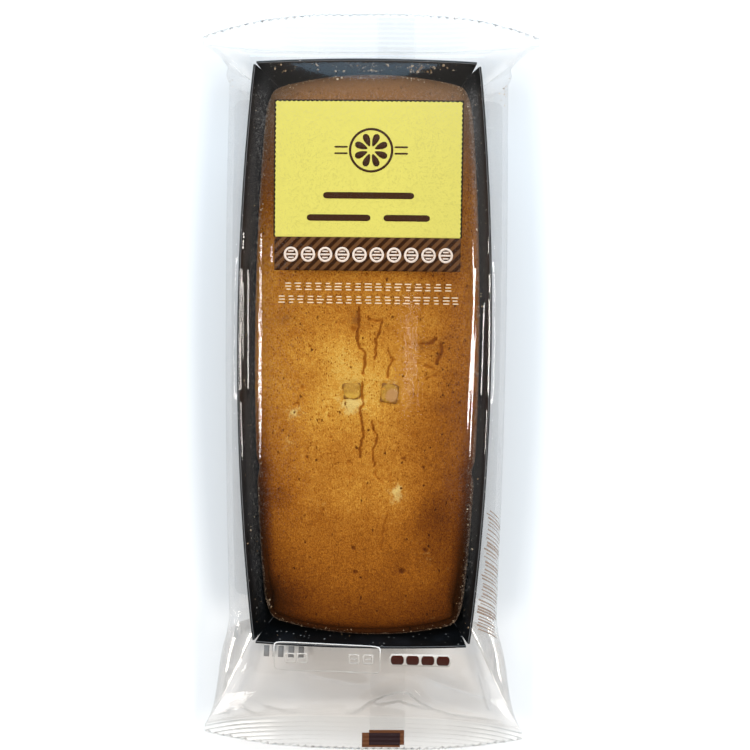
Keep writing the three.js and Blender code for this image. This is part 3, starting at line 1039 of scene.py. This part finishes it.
def ring(bm, x, y, width, height, thick, square=1.0, segments=48):
    """A flat ring or, with a small square, a frame with round corners."""
    made = bmesh.ops.create_circle(bm, segments=segments, radius=1)
    edges = list({edge for vert in made["verts"] for edge in vert.link_edges})
    inner = bmesh.ops.extrude_edge_only(bm, edges=edges)["geom"]
    inner = [part for part in inner if isinstance(part, bmesh.types.BMVert)]
    for verts, less in ((made["verts"], 0), (inner, thick)):
        for vert in verts:
            across = math.copysign(abs(vert.co.x) ** square, vert.co.x)
            along = math.copysign(abs(vert.co.y) ** square, vert.co.y)
            vert.co = (x + across * (width / 2 - less), y + along * (height / 2 - less), 0)
    return made["verts"] + inner


def print_field():
    bm = bmesh.new()
    bmesh.ops.create_grid(bm, x_segments=160, y_segments=116, size=1)
    for vert in bm.verts:
        u, v, w = vert.co
        x = mix(*FIELD_X, (u + 1) / 2)
        y = mix(*FIELD_Y, (v + 1) / 2)
        if abs(u) > 0.999:
            x -= u * SCALLOP_DEPTH * abs(math.sin(math.pi * y / SCALLOP))
        if v > 0.999:
            y -= SCALLOP_DEPTH * abs(math.sin(math.pi * x / SCALLOP))
        vert.co = (x, y, 0)
    print_piece("print_field", bm, ink_finish("yellow_ink", (0.62, 0.54, 0.115)))


def print_edge():
    """A fine dark line along the field's top and both sides, half under it."""
    line = 0.7
    wide, tall = (high - low for low, high in (FIELD_X, FIELD_Y))
    bm = bmesh.new()
    bar(bm, sum(FIELD_X) / 2, FIELD_Y[1], wide + line, line)
    for x in FIELD_X:
        made = bar(bm, 0, 0, tall, line)
        turn = Matrix.Translation((x, sum(FIELD_Y) / 2, 0)) @ Matrix.Rotation(math.pi / 2, 4, "Z")
        bmesh.ops.transform(bm, matrix=turn, verts=made)
    print_piece("print_edge", bm, ink_finish("edge_ink", (0.02, 0.012, 0.006)), INK_DEPTH + 0.06)


def print_band():
    bm = bmesh.new()
    bmesh.ops.create_grid(bm, x_segments=80, y_segments=14, size=1)
    for vert in bm.verts:
        u, v, w = vert.co
        vert.co = (mix(*FIELD_X, (u + 1) / 2), mix(*BAND_Y, (v + 1) / 2), 0)
    print_piece("print_band", bm, ink_finish("brown_ink", (0.03, 0.01, 0.003), (0.12, 0.05, 0.018)))


def print_marks():
    """Three bars on the field, and a plain lemon slice between two pairs of rules."""
    bars = ((1.2, 70.9, 31.2), (-9, 63.3, 21.9), (14.4, 63.3, 15.9))  # x, y and length
    rule_length, rule_height = 4.6, 0.6
    slice_x, slice_y, slice_size = 1.9, 86.3, 15.2
    wedges = 8
    wedge_from, wedge_reach, wedge_widths = 1.35, 2.3, (0.55, 1.6)
    bm = bmesh.new()
    for x, y, length in bars:
        bar(bm, x, y, length, 2.2, 1, 8)
    for x in (slice_x - 10.3, slice_x + 10.3):
        for y in (slice_y - 1.1, slice_y + 1.1):
            bar(bm, x, y, rule_length, rule_height, 1, 4)
    ring(bm, slice_x, slice_y, slice_size, slice_size, 0.8)
    for index in range(wedges):
        made = bmesh.ops.create_circle(bm, cap_ends=True, cap_tris=True, segments=12, radius=1)["verts"]
        for vert in made:
            half = mix(*wedge_widths, (vert.co.x + 1) / 2)
            vert.co = (wedge_from + wedge_reach * (1 + vert.co.x), vert.co.y * half, 0)
        turn = Matrix.Rotation(math.tau * (index + 0.5) / wedges, 4, "Z")
        bmesh.ops.transform(bm, matrix=Matrix.Translation((slice_x, slice_y, 0)) @ turn, verts=made)
    print_piece("print_marks", bm, ink_finish("dark_ink", (0.045, 0.018, 0.008)), OVERPRINT_DEPTH)


def print_lemons():
    """The band's row of plain lemon slices."""
    count, first_x, pitch, middle_y = 10, -25.4, 5.93, 50.7
    bm = bmesh.new()
    for index in range(count):
        x = first_x + pitch * index
        ring(bm, x, middle_y, 5.0, 5.2, 0.75, segments=28)
        for off, length, height in ((0, 3.4, 0.6), (1.1, 2.0, 0.5), (-1.1, 2.0, 0.5)):
            bar(bm, x, middle_y + off, length, height)
    print_piece("print_lemons", bm, ink_finish("pale_ink", (0.74, 0.6, 0.5)), OVERPRINT_DEPTH)


def print_fine():
    """Two rows of tiny triple dashes on the clear film."""
    rows = ((39.7, -26.2, 29, 17), (35.2, -28.6, 31.6, 19))  # y, first and last x, count
    apart = 1.05
    draw = random.Random(3)
    bm = bmesh.new()
    for y, low, high, count in rows:
        for index in range(count):
            x = mix(low, high, index / (count - 1))
            for row in (apart, 0, -apart):
                bar(bm, x + draw.uniform(-0.2, 0.2), y + row, draw.uniform(1.4, 2.5), 0.38)
    print_piece("print_fine", bm, ink_finish("cream_ink", (0.78, 0.6, 0.4)))


def print_frame():
    """The round-cornered frame beyond the tray, its squares, and the white ground of the blocks."""
    bm = bmesh.new()
    made = ring(bm, 0, 0, 38.8, 12.6, 0.42, square=0.16, segments=120)
    turn = Matrix.Translation((-12.2, LOWER_ROW_Y - 0.1, 0)) @ Matrix.Rotation(-0.03, 4, "Z")
    bmesh.ops.transform(bm, matrix=turn, verts=made)
    for x in (-25.6, -21.2, -2.4, 2.7):
        ring(bm, x, LOWER_ROW_Y, 4.0, 4.6, 0.55, square=0.3, segments=24)
        bar(bm, x, LOWER_ROW_Y, 2.2, 0.5)
    bar(bm, BLOCKS_X, LOWER_ROW_Y, 22.6, 5.6, 0.4, 6)
    print_piece("print_frame", bm, ink_finish("white_ink", (0.8, 0.79, 0.77)))


def print_blocks():
    """Four red-brown blocks side by side."""
    count, pitch = 4, 5.5
    bm = bmesh.new()
    for index in range(count):
        bar(bm, BLOCKS_X + (index - (count - 1) / 2) * pitch, LOWER_ROW_Y, 4.7, 4.2, 0.35, 6)
    print_piece("print_blocks", bm, ink_finish("red_brown_ink", (0.07, 0.012, 0.006)), OVERPRINT_DEPTH)


def print_register():
    """Two brown patches on the lower seal, dark where they overlap. They shade nothing below them."""
    bm = bmesh.new()
    bar(bm, 9.5, -136.2, 13.8, 6.0, rows=30)
    bar(bm, 7.3, -137.3, 15, 5.9, rows=30)
    print_piece("print_register", bm, ink_finish("patch_ink", (0.16, 0.065, 0.03)), 0.16)
    bm = bmesh.new()
    bar(bm, 8.7, -136.9, 12.2, 4.9, rows=30)
    print_piece("print_overlap", bm, ink_finish("overlap_ink", (0.035, 0.018, 0.02)), 0.05)
    for name in ("print_register", "print_overlap"):
        bpy.data.objects[name].visible_shadow = False


def print_code():
    """Grey marks on the lower side of the film, seen through the upper one."""
    marks = ((-39.2, 2.2), (-36.2, 0.9), (-33.4, 2.2), (-29.2, 2.4), (-25.2, 2.2))  # x and width
    y, height = -105.6, 4.0
    bm = bmesh.new()
    for x, wide in marks:
        bar(bm, x, y, wide, height)
    print_piece("print_code", bm, ink_finish("grey_ink", (0.3, 0.3, 0.3)), 0.05, side=0)


def print_hatch():
    """Slanted strokes down the film's right side."""
    y, last_y, slant = -38, -82, 27
    draw = random.Random(8)
    bm = bmesh.new()
    while y > last_y:
        made = bmesh.ops.create_grid(bm, x_segments=2, y_segments=6, size=1)["verts"]
        thick = draw.uniform(0.35, 0.8)
        foot = draw.uniform(0.64, 0.8)
        head = draw.uniform(0.96, 1.0)
        for vert in made:
            w = mix(foot, head, (vert.co.y + 1) / 2)
            point = bag_point(y + vert.co.x * thick / 2 + slant * (w - 1), 0, 1, w)
            vert.co = (point.x - INK_DEPTH, point.y, point.z)
        y -= draw.uniform(1.0, 1.7)
    piece = mesh_piece("print_hatch", bm)
    add_modifier(piece, "SOLIDIFY", thickness=FILM / 1000, offset=0)
    piece.data.materials.append(ink_finish("hatch_ink", (0.28, 0.2, 0.15)))
    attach(piece, "root")


print_field()
print_edge()
print_band()
print_marks()
print_lemons()
print_fine()
print_frame()
print_blocks()
print_register()
print_code()
print_hatch()

# ---- The studio ----
# A white table in a pale room: a bluish window beyond the upper end, a lamp above either side, a small
# one over the middle and two low ones beyond the lower end. The lamps and the table are in metres.
CAMERA_EYE = (12.68, 34.85, 376.57)
CAMERA_TURN = (-4.413, 1.541, 0.785)  # degrees, about X, Y and Z
FIELD_OF_VIEW = 43
TABLE_SIZE = 3.0
TABLE_DROP = 0.02  # millimetres under the film


def studio_table():
    bm = bmesh.new()
    bmesh.ops.create_grid(bm, x_segments=4, y_segments=4, size=TABLE_SIZE * 1000 / 2)
    bmesh.ops.translate(bm, vec=(0, 0, -TABLE_DROP), verts=bm.verts)
    table = mesh_piece("table", bm)
    white = Finish("white_table").skin({"Base Color": (0.81, 0.81, 0.81), "Roughness": 0.6})
    table.data.materials.append(white)


def lamp(name, place, size, power, colour, shape="RECTANGLE"):
    """An area lamp that faces the object. Its size is its width, then its length along the loaf."""
    light = bpy.data.lights.new(name, "AREA")
    light.shape = shape
    light.size, light.size_y = size
    light.energy = power
    light.color = colour
    holder = bpy.data.objects.new(name, light)
    holder.location = place
    away = Vector(place).normalized()
    across = Vector((0, 1, 0)).cross(away).normalized()
    holder.rotation_euler = Matrix((across, away.cross(across), away)).transposed().to_euler()
    bpy.context.scene.collection.objects.link(holder)


def studio_camera():
    data = bpy.data.cameras.new("camera")
    data.sensor_width = 36
    data.lens = data.sensor_width / 2 / math.tan(math.radians(FIELD_OF_VIEW / 2))
    data.clip_start = 0.01
    camera = bpy.data.objects.new("camera", data)
    x, y, z = (math.radians(angle) for angle in CAMERA_TURN)
    turn = Matrix.Rotation(z, 3, "Z") @ Matrix.Rotation(x, 3, "X") @ Matrix.Rotation(y, 3, "Y")
    camera.location = [value / 1000 for value in CAMERA_EYE]
    camera.rotation_euler = turn.to_euler()
    bpy.context.scene.collection.objects.link(camera)
    bpy.context.scene.camera = camera


studio_table()
lamp("window", (0.1, 1.72, 1.23), (2.3, 1.86), 44, (0.43, 0.72, 1.0))
lamp("right_lamp", (0.64, -0.04, 1.2), (0.2, 0.4), 7.2, (1.0, 0.96, 0.91))
lamp("left_lamp", (-0.62, -0.04, 1.2), (0.2, 0.4), 6.0, (1.0, 0.96, 0.91))
lamp("ceiling_lamp", (0.111, -0.053, 1.3), (0.03, 0.2), 0.05, (1.0, 0.97, 0.85), "ELLIPSE")
for side, x in (("right", 1.05), ("left", -1.05)):
    lamp(f"low_{side}_lamp", (x, -1.1, 0.12), (0.4, 0.3), 3.0, (1.0, 0.97, 0.93))


class Room(Finish):
    """The walls around, built like a material."""

    OUTPUT = "ShaderNodeOutputWorld"

    def start(self, name):
        return bpy.data.worlds.new(name)


def pale_room():
    """Pale walls, with a dark ceiling that leans towards the lower end, and dim beyond that end."""
    room = Room("room")
    way = room.node("TexCoord", {})
    x, y, z = room.axes(way)
    up = room.node("VectorMath", {0: way, 1: (0, -0.35, 0.937)}, 1, operation="DOT_PRODUCT")
    walls = (0.06 + (1 - room.rise(up, 0.5, 0.95)) * 1.2) * (0.3 + room.rise(y, -0.9, 0.2) * 0.7)
    aside = room.rise(room.math("ABSOLUTE", x), 0.1, 0.3)
    sides = aside * room.rise(y, -0.36, -0.2) * 0.45
    strength = room.math("MAXIMUM", walls, sides)
    tone = room.blend((1.0, 0.94, 0.87), (0.96, 0.95, 0.94), aside * room.rise(z, 0.3, 0.7))
    room.done(room.node("Background", {"Color": tone, "Strength": strength}))
    bpy.context.scene.world = room.material


pale_room()
bpy.context.scene.view_settings.view_transform = "Standard"
studio_camera()
